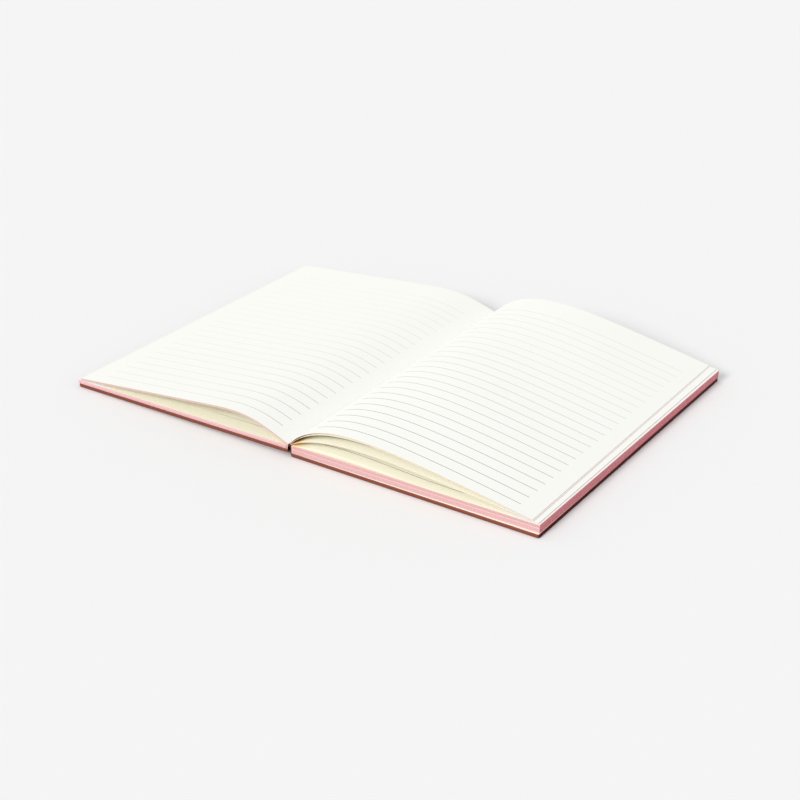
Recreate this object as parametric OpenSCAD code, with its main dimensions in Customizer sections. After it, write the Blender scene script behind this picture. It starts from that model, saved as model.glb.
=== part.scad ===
// Slim ruled notebook with a metallic hard cover, lying open near its front third.
// The right half (back cover and most of the pages) lies flat on the table. The left half
// (front cover and the pages turned so far) hangs from the fold of the spine and rests on
// its fore edge. The leaves beside the opening stand up from the stacks in low arches.
// X runs across the spread, Y from the tail edge to the head edge, Z up from the table.
// The fold of the spine lies over the origin.

/* [Cover] */
// Width of each cover, from the middle of the spine to the fore edge
cover_w = 143; // [110:1:180]
// Height of the covers and pages, tail to head
cover_h = 210; // [160:1:280]
// Full thickness of a covered board
cover_t = 2.0; // [1.6:0.1:3]
// Thickness of the metallic covering sheet
wrap_t = 0.25; // [0.15:0.05:0.4]
// How far the covering sheet is turned in over the inside of the board
turn_in = 14; // [8:1:20]
// Radius where the covering sheet turns from the board into the spine
spine_edge_r = 1.7; // [1.2:0.1:1.9]
// Radius of the outer corners of the boards, seen from above
corner_r = 1.2; // [0.5:0.1:4]

/* [Spine] */
// How far the spine fold stands above the flat part of the right page stack
back_fold_over = 0.35; // [0.2:0.05:1]
// How far the spine fold stands above the flat part of the left page stack
front_fold_over = 0.9; // [0.6:0.05:1.5]
// Half of the gap between the two halves of the folded spine, to the middle of the sheet
slit_r = 1.0; // [0.8:0.1:1.6]
// How far below the fold the two halves of the spine have spread to that gap
fold_drop = 1.5; // [1.2:0.1:1.8]
// Thickness of the lining and glue on the back of the pages
lining_t = 0.72; // [0.4:0.02:1.2]

/* [Pages] */
// Thickness of the pasted-down endpapers
endpaper_t = 0.22; // [0.15:0.01:0.4]
// How far the endpapers stay back from the edges of the boards
endpaper_set = 0.3; // [0.1:0.1:3]
// Thickness of the flat part of the left page stack
front_stack_t = 1.85; // [1:0.05:6]
// Thickness of the flat part of the right page stack
back_stack_t = 4.05; // [2:0.05:9]
// How far the right pages' tail edge draws in from the board, at the fore edge
tail_draw = 1.4; // [0:0.1:3]
// How far the right pages' fore edge stays in from the board, at the tail
fore_draw = 0.6; // [0:0.1:2]

/* [Leaves at the opening] */
// Thickness of one loose leaf
leaf_t = 0.24; // [0.15:0.01:0.3]
// Thickness of the arched group of leaves on the left
group_t = 1.1; // [0.6:0.1:1.4]
// Thickness of the fanned pages at their thin ends
fan_t = 0.3; // [0.2:0.05:0.5]
// How far the fanned pages swell above the right stack
fan_swell = 2.3; // [0.5:0.1:3]
// How far from the spine the fanned pages come to rest again
fan_reach = 88; // [50:1:120]
// Rise of the top right leaf at the gutter, at the tail, in degrees
top_rise = 53; // [30:1:65]
// How much steeper the top right leaf rises at the head, in degrees
top_twist = 8; // [0:1:12]
// How much flatter the leaf just under it rises, in degrees
under_drop = 7; // [5:1:12]
// How much flatter again the low right leaf rises at the tail, in degrees
low_drop = 16; // [12:1:20]
// How much higher each arched right leaf lies at its fore edge than the one under it
leaf_step = 0.6; // [0.5:0.05:1]
// Rise of the left group at the gutter, at the tail, in degrees
group_rise = 23; // [15:1:35]
// How much flatter the left group rises at the head, in degrees
group_twist = 5; // [0:1:8]
// Length over which the right leaves bend over from their rise
leaf_reach = 24; // [20:1:30]
// How much longer the leaf under the top one takes to bend over
under_lag = 2; // [0:0.5:2.5]
// Length over which the left group bends over from its rise
group_reach = 31; // [24:1:40]
// How long the left group keeps its rise before it bends over: 1 not at all, 4 the longest
group_hold = 3; // [1:0.5:4]

/* [Hidden] */
// Thin clearance that stands for the glue between bonded sheets
glue = 0.03;
// Air left between leaves that lie on each other
air = 0.22;
// Clearance round the bead of the spine's fold
fold_gap = 0.1;
// How far the lining stays in from the tail and head
lining_set = 0.4;
// How far the right pages stay in from the board's head corner
head_draw = 0.4;
// Where the top right leaf leaves the fold, and each leaf under it, in parts of the half gap
root_out = 0.1;
root_step = 0.4;
// Smoothness of round edges
$fn = 48;
// Stations along an arched leaf
steps = 40;
// Spacing of the stations: above 1 they crowd at the gutter, where the bend is tightest
crowd = 1.5;
// Steepest fall tried for a leaf, in degrees, and how often the search for it halves
steepest_fall = 40;
halvings = 24;
// Brings the peak of the fanned pages' curve to one
peak_scale = 27 / 4;
// Straight runs along the fanned pages' curve
fan_steps = 24;

// Where the pages begin, past the covering sheet and the lining
page_x = slit_r + wrap_t / 2 + lining_t + 2 * glue;
page_w = cover_w - page_x;
// Top of the pasted-down endpaper above the underside of its cover
inside_z = cover_t + endpaper_t;
front_top = inside_z + glue + front_stack_t;
back_top = inside_z + glue + back_stack_t;
// Height of the spine fold above the underside of each cover
front_fold_z = front_top + front_fold_over;
fold_z = back_top + back_fold_over;
// Lean of the left half, whose fore edge touches the table
lean = asin(fold_z / sqrt(cover_w * cover_w + front_fold_z * front_fold_z))
    - atan2(front_fold_z, cover_w);
// Height at which the lowest arched leaf comes to rest on the right, at its fore edge
rest_z = back_top + glue + fan_t + air;

copper = "#a8655a";
paper = "#fbf8ec";
edge_pink = "#efb9b6";

// Turns a drawing in X and Z into a bar along Y, centred on the middle of the spine
module along_spine(length) {
    rotate([90, 0, 0]) translate([0, 0, -length / 2]) linear_extrude(length) children();
}

// Moves a piece drawn like those on the right, flat and at its own height, to the left half
module on_left() {
    translate([0, 0, fold_z]) rotate([0, -lean, 0]) translate([0, 0, -front_fold_z])
        mirror([1, 0, 0]) children();
}

// Outline of a board from above, with its two fore corners rounded
module plan(inset) {
    r = corner_r - inset / 2;
    w = cover_w - inset;
    h = cover_h / 2 - inset;
    translate([0, -h]) square([w - r, 2 * h]);
    translate([0, -h + r]) square([w, 2 * h - 2 * r]);
    for (side = [-1, 1]) translate([w - r, side * (h - r)]) circle(r);
}

// Section of a board with its rounded spine edge, grown inwards by inset
module board_section(inset) {
    edge_x = slit_r - wrap_t / 2 + spine_edge_r;
    r = spine_edge_r - inset;
    translate([edge_x, inset]) square([cover_w - edge_x, cover_t - 2 * inset]);
    translate([edge_x - r, spine_edge_r])
        square([cover_w - edge_x + r, cover_t - inset - spine_edge_r]);
    intersection() {
        translate([edge_x, spine_edge_r]) circle(r);
        translate([edge_x - r, spine_edge_r - r]) square([2 * r, r]);
    }
}

// Section of the spine half: up from the board, then leaning in to the fold. The fold
// itself is a round bead on the right half, and the left half stops just clear of it.
module spine_section(fold, beaded) {
    bend_z = fold - fold_drop;
    tilt = atan2(fold_drop, slit_r);
    run = norm([slit_r, fold_drop]);
    start = beaded ? 0 : wrap_t / 2 + fold_gap;
    translate([slit_r - wrap_t / 2, spine_edge_r]) square([wrap_t, bend_z - spine_edge_r]);
    translate([slit_r, bend_z]) circle(wrap_t / 2);
    translate([0, fold]) rotate(-tilt)
        translate([start, -wrap_t / 2]) square([run - start, wrap_t]);
    if (beaded) translate([0, fold]) circle(wrap_t / 2);
}

module board(inset) {
    intersection() {
        along_spine(cover_h - 2 * inset) board_section(inset);
        linear_extrude(cover_t) plan(inset);
    }
}

// Covering sheet: it wraps the board's outside and edges and turns in over its inside
module cover_wrap(fold, beaded) {
    spine_x = slit_r + wrap_t / 2;
    difference() {
        board(0);
        board(wrap_t);
        translate([spine_x, turn_in - cover_h / 2, cover_t / 2])
            cube([cover_w - spine_x - turn_in, cover_h - 2 * turn_in, cover_t]);
    }
    along_spine(cover_h) spine_section(fold, beaded);
}

// Pasted-down endpaper, with the pad that fills the space inside the turned-in edges
module endpaper() {
    pad_w = cover_w - turn_in - page_x - glue;
    pad_h = cover_h - 2 * turn_in - 2 * glue;
    sheet_h = cover_h - 2 * endpaper_set;
    translate([page_x, -sheet_h / 2, cover_t + glue])
        cube([cover_w - page_x - endpaper_set, sheet_h, endpaper_t - glue]);
    translate([page_x, -pad_h / 2, cover_t - wrap_t + glue])
        cube([pad_w, pad_h, wrap_t]);
}

// Lining glued on the back of the pages, standing on the turned-in covering sheet
module spine_lining(top) {
    foot = cover_t + glue;
    translate([slit_r + wrap_t / 2 + glue, -cover_h / 2 + lining_set, foot])
        cube([lining_t, cover_h - 2 * lining_set, top - foot]);
}

// Outline of the right pages from above: their trim isn't quite square to the board
module page_plan() {
    polygon([
        [page_x, -cover_h / 2],
        [cover_w - fore_draw, tail_draw - cover_h / 2],
        [cover_w, cover_h / 2 - head_draw],
        [page_x, cover_h / 2]
    ]);
}

// How far the fanned pages have swelled at a distance from the spine
function swell(x) =
    let (u = min(1, (x - page_x) / fan_reach)) fan_swell * peak_scale * u * pow(1 - u, 2);

// Slope of a leaf along its width: its rise at the gutter dies away into a steady fall, at
// once where hold is 1 and later the larger it is
function slope(s, rise, fall, reach, hold) =
    (rise + fall) * exp(-pow(s / reach, hold)) - fall;

// Distance of a station along a leaf that would reach the covers' fore edge if it lay flat
function station(start, i) = (cover_w - start[0]) * pow(min(i, steps) / steps, crowd);

// Points of a leaf's underside in X and Z, walked out from the gutter at its true width
function walk(start, rise, fall, reach, hold) = [
    for (i = 0, p = start; i <= steps;
        here = station(start, i), next = station(start, i + 1),
        a = slope((here + next) / 2, rise, fall, reach, hold),
        p = p + (next - here) * [cos(a), sin(a)], i = i + 1) p
];

// Steady fall that brings the fore edge of a leaf down to a height, found by halving
function settle(start, rise, reach, hold, end_z, low = 0, high = steepest_fall, n = halvings) =
    let (mid = (low + high) / 2)
    n == 0 ? mid
    : walk(start, rise, mid, reach, hold)[steps][1] > end_z
        ? settle(start, rise, reach, hold, end_z, mid, high, n - 1)
        : settle(start, rise, reach, hold, end_z, low, mid, n - 1);

// Upper side of a leaf: each point of its underside moved out square to the slope
function thicken(line, rise, fall, reach, hold, t) = [
    for (i = [0:steps]) let (a = slope(station(line[0], i), rise, fall, reach, hold))
        line[i] + t * [-sin(a), cos(a)]
];

// Closed outline of a leaf's end, from its rise, with the fore edge at a height
function leaf_end(start, rise, reach, hold, end_z, t) =
    let (fall = settle(start, rise, reach, hold, end_z),
        under = walk(start, rise, fall, reach, hold),
        over = thicken(under, rise, fall, reach, hold, t))
    concat(under, [for (i = [steps:-1:0]) over[i]]);

// An arched leaf, or a group of leaves: straight from its tail outline to its head outline
module arched_leaf(start, tail_rise, head_rise, reach, end_z, t, draw, hold = 1) {
    tail = leaf_end(start, tail_rise, reach, hold, end_z, t);
    head = leaf_end(start, head_rise, reach, hold, end_z, t);
    m = 2 * (steps + 1);
    points = concat(
        [for (p = tail) [p[0], draw * max(0, p[0] - page_x) / page_w - cover_h / 2, p[1]]],
        [for (p = head) [p[0], cover_h / 2 - head_draw, p[1]]]
    );
    caps = [for (i = [0:steps - 1]) let (j = m - 1 - i)
        each [[i, i + 1, j], [i + 1, j - 1, j], [m + i, m + j, m + i + 1],
            [m + i + 1, m + j, m + j - 1]]];
    sides = [for (i = [0:m - 1]) let (j = (i + 1) % m) each [[i, m + i, j], [j, m + i, m + j]]];
    polyhedron(points, concat(caps, sides), convexity = 6);
}

module back_board() {
    color("#9c8f7e") board(wrap_t + glue);
}

module back_cover_wrap() {
    color(copper) cover_wrap(fold_z, true);
}

module back_endpaper() {
    color(paper) endpaper();
}

module back_spine_lining() {
    color(paper) spine_lining(back_top);
}

module back_pages() {
    color(edge_pink) translate([0, 0, inside_z + glue]) linear_extrude(back_stack_t) page_plan();
}

// Upper pages of the right stack, flat below and swelled above where they fan apart
module back_fanned_pages() {
    foot = back_top + glue;
    color(edge_pink) intersection() {
        along_spine(cover_h) polygon(concat(
            [[page_x, foot], [cover_w, foot], [cover_w, foot + fan_t]],
            [for (i = [fan_steps:-1:0]) let (x = page_x + fan_reach * i / fan_steps)
                [x, foot + fan_t + swell(x)]]
        ));
        linear_extrude(foot + fan_t + 2 * fan_swell) page_plan();
    }
}

// A single arched leaf on the right, numbered up from the lowest
module right_leaf(level, tail_rise, head_rise, reach) {
    root_x = slit_r * (root_out + root_step * (2 - level));
    color(paper) arched_leaf([root_x, fold_z + level * leaf_t], tail_rise, head_rise, reach,
        rest_z + level * leaf_step, leaf_t, tail_draw);
}

module back_low_leaf() {
    rise = top_rise - under_drop - low_drop;
    right_leaf(0, rise, rise, leaf_reach);
}

module back_under_leaf() {
    rise = top_rise - under_drop;
    right_leaf(1, rise, rise + top_twist, leaf_reach + under_lag);
}

module back_top_leaf() {
    right_leaf(2, top_rise, top_rise + top_twist, leaf_reach);
}

module front_board() {
    color("#9c8f7e") on_left() board(wrap_t + glue);
}

module front_cover_wrap() {
    color(copper) on_left() cover_wrap(front_fold_z, false);
}

module front_endpaper() {
    color(paper) on_left() endpaper();
}

module front_spine_lining() {
    color(paper) on_left() spine_lining(front_top);
}

module front_pages() {
    color(edge_pink) on_left() translate([page_x, -cover_h / 2, inside_z + glue])
        cube([page_w, cover_h, front_stack_t]);
}

// Upper pages of the left stack, which rise together off the rest
module front_raised_pages() {
    color(edge_pink) on_left() arched_leaf([slit_r, front_top + glue], group_rise,
        group_rise - group_twist, group_reach, front_top + air, group_t, 0, group_hold);
}

back_board();
back_cover_wrap();
back_endpaper();
back_spine_lining();
back_pages();
back_fanned_pages();
back_low_leaf();
back_under_leaf();
back_top_leaf();
front_board();
front_cover_wrap();
front_endpaper();
front_spine_lining();
front_pages();
front_raised_pages();
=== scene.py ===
import math
import bmesh
import bpy
from mathutils import Matrix, Vector


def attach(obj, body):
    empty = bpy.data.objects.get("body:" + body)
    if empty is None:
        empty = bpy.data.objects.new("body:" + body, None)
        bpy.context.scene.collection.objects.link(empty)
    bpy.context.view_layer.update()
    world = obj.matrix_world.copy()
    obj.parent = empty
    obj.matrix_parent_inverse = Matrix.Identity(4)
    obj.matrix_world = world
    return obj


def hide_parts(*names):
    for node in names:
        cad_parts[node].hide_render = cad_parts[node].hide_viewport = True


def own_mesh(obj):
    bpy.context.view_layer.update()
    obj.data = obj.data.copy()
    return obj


# Slim ruled notebook lying open: a foil-covered hard case, two stacks of tinted-edge pages
# and the leaves that arch up beside the opening. Sizes are in millimetres until a mesh is made.

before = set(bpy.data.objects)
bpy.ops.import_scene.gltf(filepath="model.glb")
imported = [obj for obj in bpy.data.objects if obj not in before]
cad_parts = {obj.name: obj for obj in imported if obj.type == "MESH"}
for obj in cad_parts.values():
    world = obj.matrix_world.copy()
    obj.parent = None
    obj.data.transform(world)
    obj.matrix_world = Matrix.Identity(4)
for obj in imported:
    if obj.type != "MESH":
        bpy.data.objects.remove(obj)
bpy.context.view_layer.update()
print("frame loaded,", len(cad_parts), "nodes")

# Sizes that several pieces share, the same as in the solids
book = {
    "width": 143.0,         # from the fold of the spine to the fore edge
    "height": 210.0,
    "coverThickness": 2.0,  # board with its covering
    "sheet": 0.25,          # covering sheet
    "halfSlit": 1.0,        # half the gap in the folded spine
    "foldDrop": 1.5,        # how far below the fold that gap is reached
    "pageStart": 1.905,     # where the pages begin, from the fold
    "backFold": 6.65,       # height of the fold over the back cover's underside
    "frontFold": 5.0,       # the same over the front cover's underside
    "backTop": 6.30,        # top of the flat pages over the back cover's underside
    "frontTop": 4.10,       # the same over the front cover's underside
    "glue": 0.03,           # between sheets that lie on each other
    "air": 0.22,            # between leaves that rest loosely
    "fanEnd": 0.3,          # thickness of the fanned pages past their swell
    "tailDraw": 1.4,        # how far the right pages' trim runs askew, at their tail edge
    "headDraw": 0.4,        # at their head edge
    "foreDraw": 0.6,        # at their fore edge
}
halfHeight = book["height"] / 2
pageWidth = book["width"] - book["pageStart"]
lean = (math.asin(book["backFold"] / math.hypot(book["width"], book["frontFold"]))
        - math.atan2(book["frontFold"], book["width"]))


def placeLeft(x, z):
    # from the right half's way of drawing to the left half, which leans on its fore edge
    x, z = -x, z - book["frontFold"]
    return (x * math.cos(lean) - z * math.sin(lean),
            x * math.sin(lean) + z * math.cos(lean) + book["backFold"])


def turnLeft(x, z):
    # the same for a direction
    return (-x * math.cos(lean) - z * math.sin(lean), -x * math.sin(lean) + z * math.cos(lean))


def hexLinear(code):
    # sRGB hex to the linear values that the shaders take
    parts = [int(code[i:i + 2], 16) / 255 for i in (0, 2, 4)]
    return [c / 12.92 if c <= 0.04045 else ((c + 0.055) / 1.055) ** 2.4 for c in parts] + [1.0]


def addNode(tree, kind, settings=None, values=None, links=None):
    node = tree.nodes.new(kind)
    for name, value in (settings or {}).items():
        setattr(node, name, value)
    for key, value in (values or {}).items():
        node.inputs[key].default_value = value
    for key, socket in (links or {}).items():
        tree.links.new(socket, node.inputs[key])
    return node


def newMaterial(name, shaderValues):
    material = bpy.data.materials.new(name)
    material.use_nodes = True
    tree = material.node_tree
    tree.nodes.clear()
    shader = addNode(tree, "ShaderNodeBsdfPrincipled", values=shaderValues)
    addNode(tree, "ShaderNodeOutputMaterial", links={"Surface": shader.outputs[0]})
    return material, tree, shader


# Materials

# Wood-free writing paper, calendered smooth: matt and even, with grey ruled lines printed by
# offset, which come out fainter toward the head. It comes as a lit copy for the open tops of
# the pages and a copy with painted bounce light, creamier and brighter, for undersides and inner
# pages, which gives way to the lit colour near the fore edge and has a painted warm glow at
# the gutter. All follows the page's UV map, in metres.
paperLook = {
    "openColour": "fcfcf7",
    # painted bounce light: a creamier, brighter colour for the shaded insides of the notebook
    "paintedBounceColour": "fffcec",
    "paintedBounceLeftColour": "fbf7e6",
    # painted glow: a warm colour at the gutter that stands in for light let through the leaves
    "paintedGlowColour": "f2d082",
    "paintedGlowReach": 10.0,      # how far the painted glow reaches, from the gutter
    "leftPaintedGlow": 0.25,       # share of it on left pages
    "ruleColour": "7d7e7c",
    "rulePitch": 7.865,
    "firstRule": 8.6,       # above the tail edge
    "ruleCount": 24,
    "ruleWidth": 0.34,      # printed about 0.2 wide, drawn wider so that it shows
    "ruleSoftness": 0.45,   # share of the half width over which a line's side fades
    "ruleStart": 14.5,      # from the gutter, on right pages
    "ruleEnd": 132.3,
    "ruleSkew": 0.013,      # the print runs this much askew to the trim on right pages
    "leftRuleStart": 10.5,
    "leftRuleEnd": 130.5,
    "tailInk": 1.0,         # how full the lines print up to here above the tail
    "tailInkTo": 20.0,
    "headInk": 0.34,        # and from here on
    "headInkFrom": 150.0,
    "leftInk": 0.85,        # share of that on left pages, up to here from the gutter
    "leftInkTo": 10.0,
    "leftEdgeInk": 0.28,    # and from here on
    "leftEdgeInkFrom": 66.0,
    "paleFrom": 118.0,      # where the inner paper starts to get paler, from the gutter
    "paleBy": 132.0,
    "fibreSize": 0.6,       # clumps of fibre, as single ones are too fine to show
    "fibreRelief": 0.03,
    "fibreStrength": 0.12,
    "cloudSize": 35.0,      # faint clouds in the sheet
    "cloudDepth": 0.012,
    "roughness": 0.82,
}


def writingPaper(name, colour, left=False):
    p = paperLook
    start, end = ("leftRuleStart", "leftRuleEnd") if left else ("ruleStart", "ruleEnd")
    material, tree, shader = newMaterial(name, {
        "Roughness": p["roughness"], "IOR": 1.45, "Specular IOR Level": 0.25,
    })
    uv = addNode(tree, "ShaderNodeUVMap", {"uv_map": "page"})
    split = addNode(tree, "ShaderNodeSeparateXYZ", links={0: uv.outputs[0]})
    across, up = split.outputs[0], split.outputs[1]
    printAcross = across
    if not left:
        printAcross = addNode(tree, "ShaderNodeMath", {"operation": "MULTIPLY_ADD"},
                              {1: -p["ruleSkew"]}, {0: up, 2: across}).outputs[0]

    # lines: how many pitches above the first one, how far off the nearest, and how full
    count = addNode(tree, "ShaderNodeMapRange", {"clamp": False},
                    {"From Min": p["firstRule"] / 1000,
                     "From Max": (p["firstRule"] + p["rulePitch"]) / 1000},
                    {"Value": up}).outputs[0]
    offLine = addNode(tree, "ShaderNodeMath", {"operation": "PINGPONG"}, {1: 0.5}, {0: count})
    half = p["ruleWidth"] / 2 / p["rulePitch"]
    line = addNode(tree, "ShaderNodeMapRange", {"interpolation_type": "SMOOTHSTEP"},
                   {"From Min": half * (1 - p["ruleSoftness"]),
                    "From Max": half * (1 + p["ruleSoftness"]), "To Min": 1.0, "To Max": 0.0},
                   {"Value": offLine.outputs[0]})
    faint = addNode(tree, "ShaderNodeMapRange", {},
                    {"From Min": p["tailInkTo"] / 1000, "From Max": p["headInkFrom"] / 1000,
                     "To Min": p["tailInk"], "To Max": p["headInk"]}, {"Value": up})
    shown = addNode(tree, "ShaderNodeMath", {"operation": "MULTIPLY"}, {},
                    {0: line.outputs[0], 1: faint.outputs[0]})
    if left:
        outward = addNode(tree, "ShaderNodeMapRange", {},
                          {"From Min": p["leftInkTo"] / 1000,
                           "From Max": p["leftEdgeInkFrom"] / 1000,
                           "To Min": p["leftInk"], "To Max": p["leftEdgeInk"]},
                          {"Value": across})
        shown = addNode(tree, "ShaderNodeMath", {"operation": "MULTIPLY"}, {},
                        {0: shown.outputs[0], 1: outward.outputs[0]})
    # nothing is printed past the first and the last line, or past their ends
    for value, low, high in ((count, -0.5, p["ruleCount"] - 0.5),
                             (printAcross, p[start] / 1000, p[end] / 1000)):
        inside = addNode(tree, "ShaderNodeMath", {"operation": "COMPARE"},
                         {1: (low + high) / 2, 2: (high - low) / 2}, {0: value})
        shown = addNode(tree, "ShaderNodeMath", {"operation": "MULTIPLY"}, {},
                        {0: shown.outputs[0], 1: inside.outputs[0]})

    # the sheet's colour across the page, with painted bounce light giving way to the lit colour
    # near the fore edge and a painted glow at the gutter, then its clouds and the print on top
    pale = addNode(tree, "ShaderNodeMapRange", {"interpolation_type": "SMOOTHSTEP"},
                   {"From Min": p["paleFrom"] / 1000, "From Max": p["paleBy"] / 1000},
                   {"Value": across})
    sheet = addNode(tree, "ShaderNodeMix", {"data_type": "RGBA"},
                    {6: hexLinear(colour), 7: hexLinear(p["openColour"])},
                    {"Factor": pale.outputs[0]})
    if colour != p["openColour"]:
        # a painted warm glow at the gutter, on the copies with painted bounce light
        glowShare = addNode(tree, "ShaderNodeMapRange", {"interpolation_type": "SMOOTHSTEP"},
                       {"From Max": p["paintedGlowReach"] / 1000, "To Max": 0.0,
                        "To Min": p["leftPaintedGlow"] if left else 1.0},
                       {"Value": across})
        sheet = addNode(tree, "ShaderNodeMix", {"data_type": "RGBA"},
                        {7: hexLinear(p["paintedGlowColour"])},
                        {"Factor": glowShare.outputs[0], 6: sheet.outputs[2]})
    place = addNode(tree, "ShaderNodeTexCoord").outputs["Object"]
    cloud = addNode(tree, "ShaderNodeTexNoise", {}, {"Scale": 1000 / p["cloudSize"], "Detail": 3.0},
                    {"Vector": place})
    shade = addNode(tree, "ShaderNodeMapRange", {}, {"To Min": 1 - p["cloudDepth"], "To Max": 1.0},
                    {"Value": cloud.outputs[0]})
    base = addNode(tree, "ShaderNodeMix", {"data_type": "RGBA", "blend_type": "MULTIPLY"},
                   {"Factor": 1.0}, {6: sheet.outputs[2], 7: shade.outputs[0]})
    printed = addNode(tree, "ShaderNodeMix", {"data_type": "RGBA"},
                      {7: hexLinear(p["ruleColour"])},
                      {"Factor": shown.outputs[0], 6: base.outputs[2]})
    tree.links.new(printed.outputs[2], shader.inputs["Base Color"])

    fibre = addNode(tree, "ShaderNodeTexNoise", {},
                    {"Scale": 1000 / p["fibreSize"], "Detail": 4.0, "Roughness": 0.6},
                    {"Vector": place})
    bump = addNode(tree, "ShaderNodeBump", {},
                   {"Strength": p["fibreStrength"], "Distance": p["fibreRelief"] / 1000},
                   {"Height": fibre.outputs[0]})
    tree.links.new(bump.outputs[0], shader.inputs["Normal"])
    return material


# Trimmed page edges sprayed with a rose ink: matt, with fine lines where leaves took the ink
# more or less. Edges facing along X get a painted colour for how they are lit: deeper as
# painted shade on the stacks and the group, lighter and pinker on the single leaves. The sheets
# carry each leaf's tone, its place in its pile and which way an edge faces. On fanned leaves
# the ink thins out upwards.
edgeLook = {
    # the third colour of each is painted light on edges facing along X: painted shade on the stacks
    # and the group, lighter and pinker on single leaves
    "stack": ("dab0b0", "c09192", "d16d7b"),        # pale streaks, deep streaks, fore edge
    "leftStack": ("dfafb6", "c7909a", "d16d7b"),
    "group": ("d0b8ae", "c29d94", "d8959a"),
    "leaf": ("dcc7ba", "d4aea3", "f3c4c3"),
    "bareColour": "e9dfc8",     # paper that took no ink
    "roughness": 0.55,
    "streakSize": 3.0,          # length of a streak along the edge
    "streakStretch": 14.0,      # how many times longer than thick it is
    "streakShare": 0.55,        # weight of the streaks beside a leaf's own tone
    "paleBy": 0.55,             # sum of both at which an edge is pale, and at which it is deep
    "deepBy": 1.0,
    "bareBy": 0.7,              # share up the fan by which the ink has thinned out
    "relief": 0.04,
    "reliefStrength": 0.35,
}


def edgeInk(name, colours, thinning=0.0):
    e = edgeLook
    pale, deep, fore = [hexLinear(code) for code in colours]
    material, tree, shader = newMaterial(name, {
        "Roughness": e["roughness"], "IOR": 1.45, "Specular IOR Level": 0.35,
    })
    tone = addNode(tree, "ShaderNodeAttribute", {"attribute_name": "leafTone"}).outputs["Fac"]
    place = addNode(tree, "ShaderNodeTexCoord").outputs["Object"]
    stretch = addNode(tree, "ShaderNodeMapping", {}, {"Scale": (1.0, 1.0, e["streakStretch"])},
                      {"Vector": place})
    streak = addNode(tree, "ShaderNodeTexNoise", {},
                     {"Scale": 1000 / e["streakSize"], "Detail": 5.0, "Roughness": 0.7},
                     {"Vector": stretch.outputs[0]})
    both = addNode(tree, "ShaderNodeMath", {"operation": "MULTIPLY_ADD"}, {1: e["streakShare"]},
                   {0: streak.outputs[0], 2: tone})
    share = addNode(tree, "ShaderNodeMapRange", {},
                    {"From Min": e["paleBy"], "From Max": e["deepBy"]},
                    {"Value": both.outputs[0]})
    ink = addNode(tree, "ShaderNodeMix", {"data_type": "RGBA"}, {6: pale, 7: deep},
                  {"Factor": share.outputs[0]})
    # edges facing along X take the painted colour for how they are lit
    facing = addNode(tree, "ShaderNodeAttribute", {"attribute_name": "foreSide"}).outputs["Fac"]
    paintedForeShading = addNode(tree, "ShaderNodeMix", {"data_type": "RGBA"}, {7: fore},
                    {"Factor": facing, 6: ink.outputs[2]})
    pile = addNode(tree, "ShaderNodeAttribute", {"attribute_name": "pileShare"}).outputs["Fac"]
    bare = addNode(tree, "ShaderNodeMapRange", {"interpolation_type": "SMOOTHSTEP"},
                   {"From Max": e["bareBy"], "To Max": thinning}, {"Value": pile})
    faded = addNode(tree, "ShaderNodeMix", {"data_type": "RGBA"},
                    {7: hexLinear(e["bareColour"])},
                    {"Factor": bare.outputs[0], 6: paintedForeShading.outputs[2]})
    tree.links.new(faded.outputs[2], shader.inputs["Base Color"])
    bump = addNode(tree, "ShaderNodeBump", {},
                   {"Strength": e["reliefStrength"], "Distance": e["relief"] / 1000},
                   {"Height": streak.outputs[0]})
    tree.links.new(bump.outputs[0], shader.inputs["Normal"])
    return material


# Metallised foil laminated to paper: a soft rose-copper sheen, with the faint orange peel of
# the glue under it and a few rubbed patches. Where it turns over the fore edge and in the fold
# of the spine it is painted much deeper, as painted shade.
foilLook = {
    "colour": "834d3f",
    "rubbed": "996453",
    # painted shade for faces along X: over the fore edge and in the fold
    "fore": "521013",       # over the fore edge and in the fold
    "metallic": 0.4,        # a matt film over the foil hides most of its mirror
    "filmShine": 0.0,       # and has none of its own
    "smooth": 0.37,         # roughness where it is glossy, and where it is dull
    "dull": 0.52,
    "rubSize": 9.0,         # patches of rubbing
    "rubFrom": 0.58,        # level of the noise at which rubbing starts, and where it is full
    "rubTo": 0.8,
    "rubDepth": 0.35,
    "peelSize": 1.4,        # orange peel of the glue
    "peelRelief": 0.05,
    "peelStrength": 0.2,
}


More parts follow.
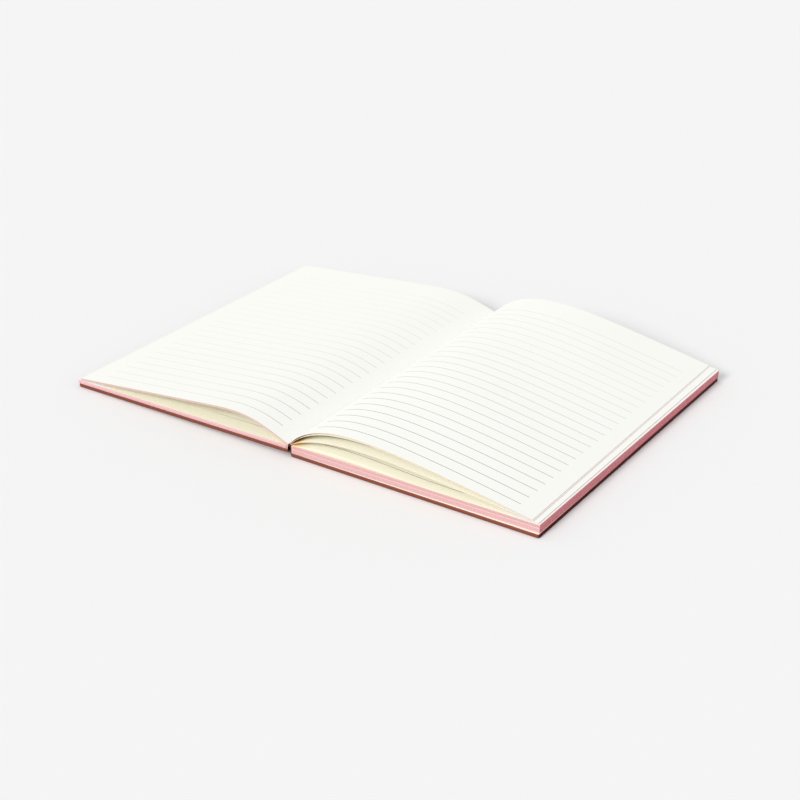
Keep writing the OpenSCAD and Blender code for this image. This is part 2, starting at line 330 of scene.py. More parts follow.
def laminatedFoil(name):
    material, tree, shader = newMaterial(name, {
        "Metallic": foilLook["metallic"], "Specular IOR Level": foilLook["filmShine"],
    })
    place = addNode(tree, "ShaderNodeTexCoord").outputs["Object"]
    rub = addNode(tree, "ShaderNodeTexNoise", {},
                  {"Scale": 1000 / foilLook["rubSize"], "Detail": 6.0, "Roughness": 0.65},
                  {"Vector": place})
    worn = addNode(tree, "ShaderNodeMapRange", {},
                   {"From Min": foilLook["rubFrom"], "From Max": foilLook["rubTo"],
                    "To Max": foilLook["rubDepth"]}, {"Value": rub.outputs[0]})
    tint = addNode(tree, "ShaderNodeMix", {"data_type": "RGBA"},
                   {6: hexLinear(foilLook["colour"]), 7: hexLinear(foilLook["rubbed"])},
                   {"Factor": worn.outputs[0]})
    # faces along X are painted deeper, as painted shade
    facing = addNode(tree, "ShaderNodeAttribute", {"attribute_name": "foreSide"}).outputs["Fac"]
    paintedForeShading = addNode(tree, "ShaderNodeMix", {"data_type": "RGBA"},
                    {7: hexLinear(foilLook["fore"])}, {"Factor": facing, 6: tint.outputs[2]})
    tree.links.new(paintedForeShading.outputs[2], shader.inputs["Base Color"])
    gloss = addNode(tree, "ShaderNodeMapRange", {},
                    {"To Min": foilLook["smooth"], "To Max": foilLook["dull"]},
                    {"Value": rub.outputs[0]})
    tree.links.new(gloss.outputs[0], shader.inputs["Roughness"])
    peel = addNode(tree, "ShaderNodeTexNoise", {},
                   {"Scale": 1000 / foilLook["peelSize"], "Detail": 2.0}, {"Vector": place})
    bump = addNode(tree, "ShaderNodeBump", {},
                   {"Strength": foilLook["peelStrength"],
                    "Distance": foilLook["peelRelief"] / 1000}, {"Height": peel.outputs[0]})
    tree.links.new(bump.outputs[0], shader.inputs["Normal"])
    return material


# Plain pressed fibre: grey board is rough and flecked from waste paper, endpaper stock is
# smooth and even, with its fore-edge faces painted deep rose as painted shade, and the lining
# is mottled by its glue
fibreLook = {
    # light fibre, dark fibre, size of a fleck, roughness
    "greyBoard": ("a89a88", "7f7263", 0.8, 0.9),
    "endpaperStock": ("fffaf0", "fbf1e2", 1.2, 0.8),
    # painted shade: the endpapers' faces along X
    "endpaperForeEdgeShade": ("c47780", "b86a74", 1.2, 0.8),
    "gluedLining": ("f3e0d2", "e2c6b6", 1.0, 0.75),
}
fleck = {"relief": 0.03, "strength": 0.2}     # how far the flecks stand out


def fibreSheet(name):
    light, dark, fleckSize, roughness = fibreLook[name]
    material, tree, shader = newMaterial(name, {
        "Roughness": roughness, "IOR": 1.45, "Specular IOR Level": 0.25,
    })
    place = addNode(tree, "ShaderNodeTexCoord").outputs["Object"]
    speck = addNode(tree, "ShaderNodeTexNoise", {},
                    {"Scale": 1000 / fleckSize, "Detail": 5.0, "Roughness": 0.65},
                    {"Vector": place})
    tint = addNode(tree, "ShaderNodeMix", {"data_type": "RGBA"},
                   {6: hexLinear(dark), 7: hexLinear(light)}, {"Factor": speck.outputs[0]})
    tree.links.new(tint.outputs[2], shader.inputs["Base Color"])
    bump = addNode(tree, "ShaderNodeBump", {},
                   {"Strength": fleck["strength"], "Distance": fleck["relief"] / 1000},
                   {"Height": speck.outputs[0]})
    tree.links.new(bump.outputs[0], shader.inputs["Normal"])
    return material


litPaper = writingPaper("writingPaperOpenSide", paperLook["openColour"])
litPaperLeft = writingPaper("writingPaperLeftSide", paperLook["openColour"], left=True)
paintedBouncePaper = writingPaper("writingPaperPaintedBounce", paperLook["paintedBounceColour"])
paintedBouncePaperLeft = writingPaper("writingPaperPaintedBounceLeft", paperLook["paintedBounceLeftColour"], left=True)
edgeRose = edgeInk("sprayedEdgeInk", edgeLook["stack"])
edgeRoseLeft = edgeInk("sprayedEdgeInkLeft", edgeLook["leftStack"])
groupRose = edgeInk("sprayedGroupEdge", edgeLook["group"])
leafRose = edgeInk("sprayedLeafEdge", edgeLook["leaf"])
fanRose = edgeInk("sprayedFannedEdge", edgeLook["stack"], thinning=1.0)
foil = laminatedFoil("laminatedRoseFoil")
greyBoard = fibreSheet("greyBoard")
endpaperStock = fibreSheet("endpaperStock")
endpaperForeShade = fibreSheet("endpaperForeEdgeShade")
liningStock = fibreSheet("gluedLining")
print("materials made")


# Sheets: one tree lays any number of leaves over a base surface

def makeSheetTree():
    tree = bpy.data.node_groups.new("layPageSheets", "GeometryNodeTree")
    faces = tree.interface
    faces.new_socket("Geometry", in_out="INPUT", socket_type="NodeSocketGeometry")
    for label, kind in (("Leaf Count", "Int"), ("Leaf Thickness", "Float"), ("Fan Power", "Float"),
                        ("Edge Scatter", "Float"), ("Tone Step", "Float"), ("Seed", "Int"),
                        ("Upper Paper", "Material"), ("Under Paper", "Material"),
                        ("Edge Ink", "Material")):
        faces.new_socket(label, in_out="INPUT", socket_type="NodeSocket" + kind)
    faces.new_socket("Geometry", in_out="OUTPUT", socket_type="NodeSocketGeometry")
    given = addNode(tree, "NodeGroupInput").outputs

    # copy the base once a leaf, and keep each leaf's number
    held = addNode(tree, "GeometryNodeGeometryToInstance", links={0: given["Geometry"]})
    copies = addNode(tree, "GeometryNodeDuplicateElements", {"domain": "INSTANCE"}, {},
                     {"Geometry": held.outputs[0], "Amount": given["Leaf Count"]})
    numbered = addNode(tree, "GeometryNodeStoreNamedAttribute",
                       {"data_type": "INT", "domain": "INSTANCE"}, {"Name": "leafNumber"},
                       {"Geometry": copies.outputs[0], "Value": copies.outputs[1]})
    loose = addNode(tree, "GeometryNodeRealizeInstances", links={0: numbered.outputs[0]})
    number = addNode(tree, "GeometryNodeInputNamedAttribute", {"data_type": "INT"},
                     {"Name": "leafNumber"}).outputs[0]
    lift = addNode(tree, "GeometryNodeInputNamedAttribute", {"data_type": "FLOAT_VECTOR"},
                   {"Name": "lift"}).outputs[0]

    # move each leaf up its share of the lift, and draw its edges in a little
    share = addNode(tree, "ShaderNodeMath", {"operation": "DIVIDE"}, {},
                    {0: number, 1: given["Leaf Count"]})
    fanned = addNode(tree, "ShaderNodeMath", {"operation": "POWER"}, {},
                     {0: share.outputs[0], 1: given["Fan Power"]})
    rise = addNode(tree, "ShaderNodeVectorMath", {"operation": "SCALE"}, {},
                   {0: lift, "Scale": fanned.outputs[0]})
    chance = addNode(tree, "FunctionNodeRandomValue", {"data_type": "FLOAT"}, {"Max": 1.0},
                     {"ID": number, "Seed": given["Seed"]})
    drawn = addNode(tree, "ShaderNodeMath", {"operation": "MULTIPLY"}, {},
                    {0: chance.outputs[1], 1: given["Edge Scatter"]})
    spot = addNode(tree, "GeometryNodeInputPosition").outputs[0]
    flatSpot = addNode(tree, "ShaderNodeVectorMath", {"operation": "MULTIPLY"},
                       {1: (-1.0, -1.0, 0.0)}, {0: spot})
    inward = addNode(tree, "ShaderNodeVectorMath", {"operation": "SCALE"}, {},
                     {0: flatSpot.outputs[0], "Scale": drawn.outputs[0]})
    shift = addNode(tree, "ShaderNodeVectorMath", {"operation": "ADD"}, {},
                    {0: rise.outputs[0], 1: inward.outputs[0]})
    laid = addNode(tree, "GeometryNodeSetPosition", links={"Geometry": loose.outputs[0],
                                                           "Offset": shift.outputs[0]})

    # a tone for each leaf, which drifts from one to the next
    along = addNode(tree, "ShaderNodeMath", {"operation": "MULTIPLY_ADD"}, {},
                    {0: number, 1: given["Tone Step"], 2: given["Seed"]})
    drift = addNode(tree, "ShaderNodeTexNoise", {"noise_dimensions": "1D"},
                    {"Scale": 1.0, "Detail": 2.0}, {"W": along.outputs[0]})
    marked = addNode(tree, "GeometryNodeStoreNamedAttribute",
                     {"data_type": "FLOAT", "domain": "POINT"}, {"Name": "leafTone"},
                     {"Geometry": laid.outputs[0], "Value": drift.outputs[0]})
    toned = addNode(tree, "GeometryNodeStoreNamedAttribute",
                    {"data_type": "FLOAT", "domain": "POINT"}, {"Name": "pileShare"},
                    {"Geometry": marked.outputs[0], "Value": share.outputs[0]})

    # give the leaf its thickness and close it underneath
    way = addNode(tree, "ShaderNodeVectorMath", {"operation": "NORMALIZE"}, {}, {0: lift})
    thick = addNode(tree, "GeometryNodeExtrudeMesh", {"mode": "FACES"}, {"Individual": False},
                    {"Mesh": toned.outputs[0], "Offset": way.outputs[0],
                     "Offset Scale": given["Leaf Thickness"]})
    under = addNode(tree, "GeometryNodeFlipFaces", links={0: toned.outputs[0]})
    underPaper = addNode(tree, "GeometryNodeSetMaterial", links={
        "Geometry": under.outputs[0], "Material": given["Under Paper"]})
    upperPaper = addNode(tree, "GeometryNodeSetMaterial", links={
        "Geometry": thick.outputs["Mesh"], "Material": given["Upper Paper"]})
    joined = addNode(tree, "GeometryNodeJoinGeometry")
    tree.links.new(underPaper.outputs[0], joined.inputs[0])
    tree.links.new(upperPaper.outputs[0], joined.inputs[0])
    closed = addNode(tree, "GeometryNodeMergeByDistance", {}, {"Distance": 1e-6},
                     {"Geometry": joined.outputs[0]})
    # how far each face points along X, for the edge inks' painted fore-edge shading
    normal = addNode(tree, "ShaderNodeSeparateXYZ", links={
        0: addNode(tree, "GeometryNodeInputNormal").outputs[0]})
    sideways = addNode(tree, "ShaderNodeMath", {"operation": "ABSOLUTE"}, {},
                       {0: normal.outputs[0]})
    facing = addNode(tree, "GeometryNodeStoreNamedAttribute",
                     {"data_type": "FLOAT", "domain": "FACE"}, {"Name": "foreSide"},
                     {"Geometry": closed.outputs[0], "Value": sideways.outputs[0]})
    smooth = addNode(tree, "GeometryNodeSetShadeSmooth", links={"Geometry": facing.outputs[0]})
    whole = addNode(tree, "GeometryNodeRealizeInstances", links={0: smooth.outputs[0]})
    inked = addNode(tree, "GeometryNodeSetMaterial", links={
        "Geometry": whole.outputs[0], "Selection": thick.outputs["Side"],
        "Material": given["Edge Ink"]})
    addNode(tree, "NodeGroupOutput", links={0: inked.outputs[0]})
    return tree


sheetTree = makeSheetTree()
sheetSharp = 50     # degrees from which an edge of a leaf stays sharp


def laySheets(base, settings):
    # run the tree on a base surface and keep the plain mesh it makes
    modifier = base.modifiers.new("pageSheets", "NODES")
    modifier.node_group = sheetTree
    for item in sheetTree.interface.items_tree:
        if item.in_out == "INPUT" and item.name in settings:
            modifier[item.identifier] = settings[item.name]
    depsgraph = bpy.context.evaluated_depsgraph_get()
    mesh = bpy.data.meshes.new_from_object(base.evaluated_get(depsgraph),
                                           preserve_all_data_layers=True, depsgraph=depsgraph)
    base.modifiers.remove(modifier)
    base.data = mesh
    mesh.set_sharp_from_angle(angle=math.radians(sheetSharp))


def baseSurface(name, columns, rows, pointAt, mirrored=False):
    # a grid of points; pointAt gives a point, the way its leaves pile up and its UV, in mm
    points, lifts, spots = [], [], []
    for row in range(rows + 1):
        for column in range(columns + 1):
            point, lift, spot = pointAt(column, row / rows)
            points.append([c / 1000 for c in point])
            lifts.append([c / 1000 for c in lift])
            spots.append([c / 1000 for c in spot])
    wide = columns + 1
    quads = [(r * wide + c, r * wide + c + 1, (r + 1) * wide + c + 1, (r + 1) * wide + c)
             for r in range(rows) for c in range(columns)]
    if mirrored:
        quads = [tuple(reversed(q)) for q in quads]
    mesh = bpy.data.meshes.new(name)
    mesh.from_pydata(points, [], quads)
    attribute = mesh.attributes.new("lift", "FLOAT_VECTOR", "POINT")
    attribute.data.foreach_set("vector", [c for v in lifts for c in v])
    page = mesh.uv_layers.new(name="page")
    for loop in mesh.loops:
        page.data[loop.index].uv = spots[loop.vertex_index]
    piece = bpy.data.objects.new(name, mesh)
    bpy.context.scene.collection.objects.link(piece)
    return piece


def tailY(x, draw=book["tailDraw"]):
    # tail edge of the pages, which runs askew by draw at the fore edge
    return draw * max(0.0, x - book["pageStart"]) / pageWidth - halfHeight


# Arched leaves: each is walked out from the fold at its true width

walk = {
    "crowd": 1.5,           # above 1, stations crowd at the gutter, where a leaf bends most
    "steepest": 40.0,       # steepest fall tried for a leaf, and how often the search halves
    "halvings": 24,
    "wavesUp": 1.7,         # ripples from tail to head
    "waveAcross": 150.0,    # length of one across the leaf
}


def slopeAt(s, rise, fall, reach, hold):
    # hold is 1 where the leaf bends over from the gutter on, and more where it waits
    return math.radians((rise + fall) * math.exp(-(s / reach) ** hold) - fall)


def walkLeaf(start, rise, fall, reach, hold, columns):
    width = book["width"] - start[0]
    stations = [width * (i / columns) ** walk["crowd"] for i in range(columns + 1)]
    x, z = start
    line = []
    for i, s in enumerate(stations):
        line.append((x, z, slopeAt(s, rise, fall, reach, hold), s))
        if i < columns:
            angle = slopeAt((s + stations[i + 1]) / 2, rise, fall, reach, hold)
            x += (stations[i + 1] - s) * math.cos(angle)
            z += (stations[i + 1] - s) * math.sin(angle)
    return line


def settledLeaf(leaf, rise):
    # the steady fall that brings its fore edge down to the height asked for
    low, high = 0.0, walk["steepest"]
    for _ in range(walk["halvings"]):
        middle = (low + high) / 2
        line = walkLeaf(leaf["start"], rise, middle, leaf["reach"], leaf["hold"],
                        leaf["columns"])
        if line[-1][1] > leaf["endZ"]:
            low = middle
        else:
            high = middle
    return line


def archedBase(name, leaf, left=False):
    # between its tail outline and its head outline a leaf runs straight, but for a faint ripple
    tail = settledLeaf(leaf, leaf["tailRise"])
    head = settledLeaf(leaf, leaf["headRise"])

    def pointAt(column, share):
        x, z, angle, s = [a + (b - a) * share for a, b in zip(tail[column], head[column])]
        turns = share * walk["wavesUp"] + s / walk["waveAcross"] + leaf["ripplePhase"]
        ripple = (leaf["ripple"] * math.sin(math.pi * s / book["width"]) ** 2
                  * math.sin(2 * math.pi * turns))
        nx, nz = -math.sin(angle), math.cos(angle)
        x, z = x + nx * ripple, z + nz * ripple
        start = tailY(tail[column][0], leaf["draw"])
        y = start + share * (halfHeight - book["headDraw"] - start)
        lift = (nx * leaf["pile"], nz * leaf["pile"])
        if left:
            x, z = placeLeft(x, z)
            lift = turnLeft(*lift)
        return (x, y, z), (lift[0], 0.0, lift[1]), (s, y + halfHeight)

    return baseSurface(name, leaf["columns"], leaf["rows"], pointAt, mirrored=left)


# height over the table at which the lowest right leaf comes to rest
restZ = book["backTop"] + book["glue"] + book["fanEnd"] + book["air"]
# inputs of the sheet tree, with the thickness in metres and the scatter as a share of the size
leafSheets = {"Leaf Count": 1, "Leaf Thickness": 0.00017, "Fan Power": 1.0, "Edge Scatter": 0.0,
              "Tone Step": 0.4, "Seed": 3, "Upper Paper": litPaper, "Under Paper": paintedBouncePaper,
              "Edge Ink": leafRose}
# start is where a leaf leaves the spine, its rises are its slopes there in degrees, reach is
# how far the bend goes on, pile its way up to the next leaf and endZ the height it ends at
rightLeaf = {"columns": 56, "rows": 22, "hold": 1, "pile": 0.24, "draw": book["tailDraw"],
             "ripplePhase": 0.2}

topLeaf = archedBase("backTopLeaf", {
    **rightLeaf, "start": (0.44, book["backFold"] + 0.48), "tailRise": 53, "headRise": 60.8,
    "reach": 24, "endZ": restZ + 1.0, "ripple": 0.16})
laySheets(topLeaf, leafSheets)
underLeaf = archedBase("backUnderLeaf", {
    **rightLeaf, "start": (0.66, book["backFold"] + 0.24), "tailRise": 48.5, "headRise": 56.5,
    "reach": 25.5, "endZ": restZ + 0.6, "ripple": 0.14})
laySheets(underLeaf, {**leafSheets, "Upper Paper": paintedBouncePaper, "Seed": 5})
lowLeaf = archedBase("backLowLeaf", {
    **rightLeaf, "start": (0.95, book["backFold"]), "tailRise": 30, "headRise": 30,
    "reach": 24, "endZ": restZ, "ripple": 0.08})
laySheets(lowLeaf, {**leafSheets, "Upper Paper": paintedBouncePaper, "Seed": 8})

raisedGroup = archedBase("frontRaisedPages", {
    "columns": 44, "rows": 14, "start": (1.0, book["frontTop"] + book["glue"]), "tailRise": 23,
    "headRise": 18, "reach": 31, "hold": 3, "endZ": book["frontTop"] + book["air"],
    "pile": 1.1, "draw": 0.0, "ripple": 0.0, "ripplePhase": 0.0}, left=True)
laySheets(raisedGroup, {**leafSheets, "Leaf Count": 10, "Leaf Thickness": 0.000102,
                        "Edge Scatter": 0.0006, "Tone Step": 0.37, "Seed": 11,
                        "Upper Paper": litPaperLeft, "Under Paper": paintedBouncePaperLeft,
                        "Edge Ink": groupRose})
print("arched leaves laid")


# Fanned pages: the top of the right stack, swelled up from the rest near the gutter

fan = {
    "swell": 2.3,           # how much thicker it is at its fullest
    "reach": 88.0,          # how far from the spine the swell ends
    "peakScale": 27 / 4,    # brings the peak of the swell's curve to one
    "leaves": 44,
    "leafThickness": 0.05,
    "columns": 40,
    "rows": 4,
    "crowd": 1.3,           # above 1, columns crowd at the gutter
    "printShift": 1.2,      # how far its print sits toward the tail
}


def fanHeight(x):
    u = min(1.0, (x - book["pageStart"]) / fan["reach"])
    return book["fanEnd"] + fan["swell"] * fan["peakScale"] * u * (1 - u) ** 2


def fanPoint(column, share):
    fore = column / fan["columns"]
    headX = book["pageStart"] + pageWidth * fore ** fan["crowd"]
    x = headX - book["foreDraw"] * fore * (1 - share)
    start = tailY(x)
    y = start + share * (halfHeight - book["headDraw"] * (headX / book["width"]) - start)
    return ((x, y, book["backTop"] + book["glue"]),
            (0.0, 0.0, fanHeight(headX) - fan["leafThickness"]),
            (x - book["pageStart"], y + halfHeight + fan["printShift"]))


fannedPages = baseSurface("backFannedPages", fan["columns"], fan["rows"], fanPoint)
laySheets(fannedPages, {**leafSheets, "Leaf Count": fan["leaves"],
                        "Leaf Thickness": fan["leafThickness"] / 1000,
                        "Edge Scatter": 0.0005, "Tone Step": 0.2, "Seed": 21,
                        "Upper Paper": paintedBouncePaper, "Under Paper": paintedBouncePaper,
                        "Edge Ink": fanRose})


# The two flat stacks, laid as bundles of leaves so that their trimmed edges show fine lines

blocks = {
    "backPages": {"floor": 2.25, "thick": 4.05, "bundles": 27, "seed": 31, "printShift": 0.0},
    "frontPages": {"floor": 2.25, "thick": 1.85, "bundles": 13, "seed": 47, "printShift": -1.1},
}
blockSteps = 4      # columns and rows of a bundle
bundleGap = 0.004   # left open between bundles


def blockBase(name, left):
    floorZ, thick, shift = [blocks[name][key] for key in ("floor", "thick", "printShift")]

    def pointAt(column, share):
        x = book["pageStart"] + pageWidth * column / blockSteps
        fore = column / blockSteps
        if left:
            y = -halfHeight + book["height"] * share
            px, pz = placeLeft(x, floorZ)
            lx, lz = turnLeft(0.0, thick)
            return (px, y, pz), (lx, 0.0, lz), (x - book["pageStart"], y + halfHeight + shift)
        x -= book["foreDraw"] * fore * (1 - share)
        start = tailY(x)
        y = start + share * (halfHeight - book["headDraw"] * fore - start)
        return (x, y, floorZ), (0.0, 0.0, thick), (x - book["pageStart"], y + halfHeight + shift)

    return baseSurface(name, blockSteps, blockSteps, pointAt, mirrored=left)


stacks = {}
for name, left in (("backPages", False), ("frontPages", True)):
    block = blocks[name]
    stacks[name] = blockBase(name, left)
    pitch = block["thick"] / block["bundles"]
    laySheets(stacks[name], {**leafSheets, "Leaf Count": block["bundles"],
                             "Leaf Thickness": (pitch - bundleGap) / 1000, "Edge Scatter": 0.0007,
                             "Tone Step": 0.17, "Seed": block["seed"],
                             "Upper Paper": paintedBouncePaperLeft if left else paintedBouncePaper,
                             "Under Paper": paintedBouncePaper,
                             "Edge Ink": edgeRoseLeft if left else edgeRose})
print("page stacks laid")


# Covering sheet: a shell round the board, turned in over its inside, with the folded spine

case = {
    "turnIn": 14.0,
    "edgeRound": 0.42,
    "cornerRound": 1.2,
    "leastRound": 0.05,                 # of a corner far in from the edges
    "cornerSteps": 7,
    "roundSteps": 5,
    "spineRound": 1.7,                  # where the sheet turns up into the spine
    "innerHeights": (0.5, 0.9, 1.3),    # where that round is cut, inside and outside
    "outerHeights": (1.3, 1.0, 0.7),
    "sharp": 35,                        # degrees from which an edge stays sharp
}
spine = {
    "foot": 1.3,            # where the strip starts, inside the shell's side
    "bendFrom": 0.5,        # how far below the bend its curve starts
    "bendTo": 0.3,          # share of the way from the bend to the fold where it ends
    "bendSteps": 5,
    "beadSteps": 6,
}


def caseRing(left, inset, z):
    # one outline of the board from above, drawn in from its edges
    r = max(case["leastRound"], case["cornerRound"] - inset / 2)
    right, end = book["width"] - inset, halfHeight - inset
    ring = [(left, -end)]
    for side in (-1, 1):
        for i in range(case["cornerSteps"] + 1):
            a = math.pi / 2 * i / case["cornerSteps"]
            a = a - math.pi / 2 if side < 0 else a
            ring.append((right - r + r * math.cos(a), side * (end - r) + r * math.sin(a)))
    ring.append((left, end))
    return [(x, y, z) for x, y in ring]


def spineX(z, grow=0.0):
    # left edge of the shell at a height, where the sheet turns up into the spine
    centre = book["halfSlit"] - book["sheet"] / 2 + case["spineRound"]
    r = case["spineRound"] - grow
    drop = min(r, max(0.0, case["spineRound"] - z))
    return centre - math.sqrt(max(0.0, r * r - drop * drop))


def caseRings():
    # from the inside of the shell, round its turned-in edge and down to the underside
    t, w, r = book["coverThickness"], book["sheet"], case["edgeRound"]
    rings = []
    for z in (w, *case["innerHeights"], t - w):
        rings.append((spineX(z, w), w, z))
    inner = spineX(t, w)
    rings += [(inner, case["turnIn"], t - w), (inner, case["turnIn"], t)]
    for i in range(case["roundSteps"] + 1):
        a = math.pi / 2 * i / case["roundSteps"]
        rings.append((spineX(t), r - r * math.sin(a), t - r + r * math.cos(a)))
    for z in case["outerHeights"]:
        rings.append((spineX(z), 0.0, z))
    for i in range(case["roundSteps"] + 1):
        a = math.pi / 2 * i / case["roundSteps"]
        z = r - r * math.sin(a)
        rings.append((spineX(z), r - r * math.cos(a), z))
    return [caseRing(*ring) for ring in rings]


def spineRibbon(fold, beaded):
    # closed outline in X and Z of the strip that stands on the spine edge and leans to the fold
    w = book["sheet"]
    bend = fold - book["foldDrop"]
    path = [(book["halfSlit"], spine["foot"]), (book["halfSlit"], bend - spine["bendFrom"])]
    lower, corner = Vector(path[-1]), Vector((book["halfSlit"], bend))
    upper = corner.lerp(Vector((0.0, fold)), spine["bendTo"])
    for i in range(1, spine["bendSteps"] + 1):
        t = i / spine["bendSteps"]
        p = lower.lerp(corner, t).lerp(corner.lerp(upper, t), t)
        path.append((p.x, p.y))
    stop = 0.0 if beaded else w / 2 + book["glue"]
    run = Vector((0.0, fold)) - corner
    path.append(tuple(corner + run * (1 - stop / run.length)))
    outer, inner = [], []
    for i, p in enumerate(path):
        before, after = Vector(path[max(0, i - 1)]), Vector(path[min(len(path) - 1, i + 1)])
        way = (after - before).normalized()
        side = Vector((-way.y, way.x)) * w / 2
        outer.append(Vector(p) + side)
        inner.append(Vector(p) - side)
    tip = []
    if beaded:
        start = math.atan2(outer[-1].y - fold, outer[-1].x)
        for i in range(1, spine["beadSteps"]):
            a = start - math.pi * i / spine["beadSteps"]
            tip.append(Vector((0.0, fold)) + Vector((math.cos(a), math.sin(a))) * w / 2)
    return outer + tip + list(reversed(inner))


def faceOutwards(mesh):
    shape = bmesh.new()
    shape.from_mesh(mesh)
    bmesh.ops.recalc_face_normals(shape, faces=shape.faces)
    shape.to_mesh(mesh)
    shape.free()


def caseMesh(name, fold, beaded, left):
    # the shell and its half of the spine; the back half's strip ends in the bead of the fold
    points, polygons = [], []
    rings = caseRings()
    for ring in rings:
        points += ring
    n = len(rings[0])
    polygons.append(tuple(range(n)))
    for k in range(len(rings) - 1):
        for i in range(n):
            j = (i + 1) % n
            polygons.append((k * n + i, (k + 1) * n + i, (k + 1) * n + j, k * n + j))
    last = (len(rings) - 1) * n
    polygons.append(tuple(last + i for i in reversed(range(n))))

    outline = spineRibbon(fold, beaded)
    first, m = len(points), len(outline)
    for y in (-halfHeight, halfHeight):
        points += [(p.x, y, p.y) for p in outline]
    for i in range(m):
        j = (i + 1) % m
        polygons.append((first + i, first + j, first + m + j, first + m + i))
    polygons.append(tuple(first + i for i in reversed(range(m))))
    polygons.append(tuple(first + m + i for i in range(m)))

    if left:
        placed = []
        for x, y, z in points:
            px, pz = placeLeft(x, z)
            placed.append((px, y, pz))
        points = placed
    mesh = bpy.data.meshes.new(name)
    mesh.from_pydata([[c / 1000 for c in p] for p in points], [], polygons)
    piece = bpy.data.objects.new(name, mesh)
    bpy.context.scene.collection.objects.link(piece)
    faceOutwards(mesh)
    mesh.materials.append(foil)
    # how far each face points along X, for the foil's painted shade over the fore edge and in the
    # fold
    facing = mesh.attributes.new("foreSide", "FLOAT", "FACE")
    facing.data.foreach_set("value", [p.normal.x ** 2 for p in mesh.polygons])
    for polygon in mesh.polygons:
        polygon.use_smooth = True
    mesh.set_sharp_from_angle(angle=math.radians(case["sharp"]))
    return piece


backCase = caseMesh("backCoverSheet", book["backFold"], True, False)
frontCase = caseMesh("frontCoverSheet", book["frontFold"], False, True)
print("covers made")


# The solids that show as they are. The endpapers' faces along X are painted deep rose, as
# painted shade.

foreFacing = 0.9    # how far along X a face has to point to be that edge
for node, material in (("back_board", greyBoard), ("front_board", greyBoard),
                       ("back_endpaper", endpaperStock), ("front_endpaper", endpaperStock),
                       ("back_spine_lining", liningStock), ("front_spine_lining", liningStock)):
    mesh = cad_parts[node].data
    mesh.materials.clear()
    mesh.materials.append(material)
    if material == endpaperStock:
        mesh.materials.append(endpaperForeShade)
        for polygon in mesh.polygons:
            polygon.material_index = int(abs(polygon.normal.x) > foreFacing)


# What each piece rides on and stands for, and for the leaves the height in mm and the share of
# their own toward which they would flatten as the notebook shuts; here those pieces only get a
# mesh of their own.

pieces = (
    (backCase, "back_half", "back_cover_wrap", "cover_sheet", None),
    (stacks["backPages"], "back_half", "back_pages", "page_edges", None),
    (fannedPages, "back_half", "back_fanned_pages", "fanned_pages", (6.33, 0.12)),
    (lowLeaf, "back_half", "back_low_leaf", "page_face", (6.72, 0.005)),
    (underLeaf, "back_half", "back_under_leaf", "page_face", (6.78, 0.005)),
    (topLeaf, "back_half", "back_top_leaf", "page_face", (6.84, 0.005)),
    (frontCase, "front_half", "front_cover_wrap", "cover_sheet", None),
    (stacks["frontPages"], "front_half", "front_pages", "page_edges", None),
    (raisedGroup, "front_half", "front_raised_pages", "fanned_pages", (5.76, 0.05)),
)
for piece, body, node, slot, flat in pieces:
    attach(piece, body)
    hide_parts(node)
    if flat:
        left = body == "front_half"
        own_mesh(piece)
print("pieces riding")


# Floor, light and camera, in metres. The key comes low from the front, as in the photograph,
# so it reaches in under the leaves and throws the shadow behind the notebook. A wide, even
# sky fills the rest, and the two together light the floor about as its colour is written.

studio = {
    "floorColour": "f5f5f5",
    "floorReach": 8.0,
    "floorDrop": 0.0001,        # keeps the floor off the covers' undersides
    "worldStrength": 0.67,
    "backdropStrength": 0.9,    # what the camera and glossy surfaces see of the sky
    "sunStrength": 2.114,
    "sunAngle": 20.0,
    "sunWay": (0.15, 0.93, -0.53),
}

floorMesh = bpy.data.meshes.new("floor")
reach = studio["floorReach"]
floorMesh.from_pydata([(-reach, -reach, 0), (reach, -reach, 0), (reach, reach, 0),
                       (-reach, reach, 0)], [], [(0, 1, 2, 3)])
floor = bpy.data.objects.new("floor", floorMesh)
floor.location.z = -studio["floorDrop"]
bpy.context.scene.collection.objects.link(floor)
floorMesh.materials.append(newMaterial("paintedStudioFloor", {
    "Base Color": hexLinear(studio["floorColour"]), "Roughness": 0.9,
    "Specular IOR Level": 0.1})[0])

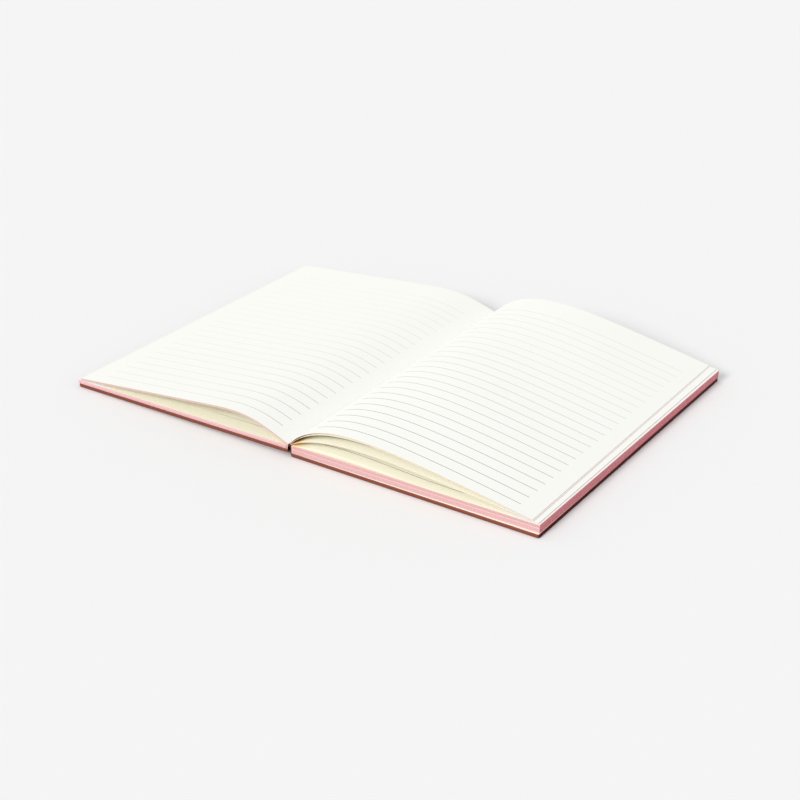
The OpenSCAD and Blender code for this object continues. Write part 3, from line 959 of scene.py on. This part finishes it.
world = bpy.data.worlds.new("studioLight")
bpy.context.scene.world = world
world.use_nodes = True
world.node_tree.nodes.clear()
paths = addNode(world.node_tree, "ShaderNodeLightPath").outputs
seen = addNode(world.node_tree, "ShaderNodeMath", {"operation": "MAXIMUM"}, {},
               {0: paths["Is Camera Ray"], 1: paths["Is Glossy Ray"]})
level = addNode(world.node_tree, "ShaderNodeMapRange", {},
                {"To Min": studio["worldStrength"], "To Max": studio["backdropStrength"]},
                {"Value": seen.outputs[0]})
glowNode = addNode(world.node_tree, "ShaderNodeBackground", {}, {"Color": (1, 1, 1, 1)},
                   {"Strength": level.outputs[0]})
addNode(world.node_tree, "ShaderNodeOutputWorld", links={"Surface": glowNode.outputs[0]})

sunData = bpy.data.lights.new("softKey", "SUN")
sunData.energy = studio["sunStrength"]
sunData.angle = math.radians(studio["sunAngle"])
sun = bpy.data.objects.new("softKey", sunData)
sun.rotation_mode = "QUATERNION"
sun.rotation_quaternion = Vector(studio["sunWay"]).to_track_quat("-Z", "Y")
bpy.context.scene.collection.objects.link(sun)

# Worked out from the photograph's perspective; angles in degrees, lens and sensor in mm
shot = {"place": (0.43126, -0.67883, 0.37902), "yaw": 32.508, "pitch": 25.822, "roll": 1.102,
        "lens": 72.184, "sensor": 36.0, "nearest": 0.01}
yaw, pitch, roll = [math.radians(shot[k]) for k in ("yaw", "pitch", "roll")]
ahead = Vector((-math.sin(yaw) * math.cos(pitch), math.cos(yaw) * math.cos(pitch),
                -math.sin(pitch)))
across = Vector((math.cos(yaw), math.sin(yaw), 0.0))
above = across.cross(ahead)
turnedAcross = math.cos(roll) * across + math.sin(roll) * above
turnedAbove = math.cos(roll) * above - math.sin(roll) * across
cameraData = bpy.data.cameras.new("camera")
cameraData.sensor_width = shot["sensor"]
cameraData.lens = shot["lens"]
cameraData.clip_start = shot["nearest"]
camera = bpy.data.objects.new("camera", cameraData)
camera.matrix_world = Matrix.Translation(shot["place"]) @ Matrix(
    (turnedAcross, turnedAbove, -ahead)).transposed().to_4x4()
bpy.context.scene.collection.objects.link(camera)
bpy.context.scene.camera = camera
bpy.context.scene.view_settings.view_transform = "Standard"
print("stage set")
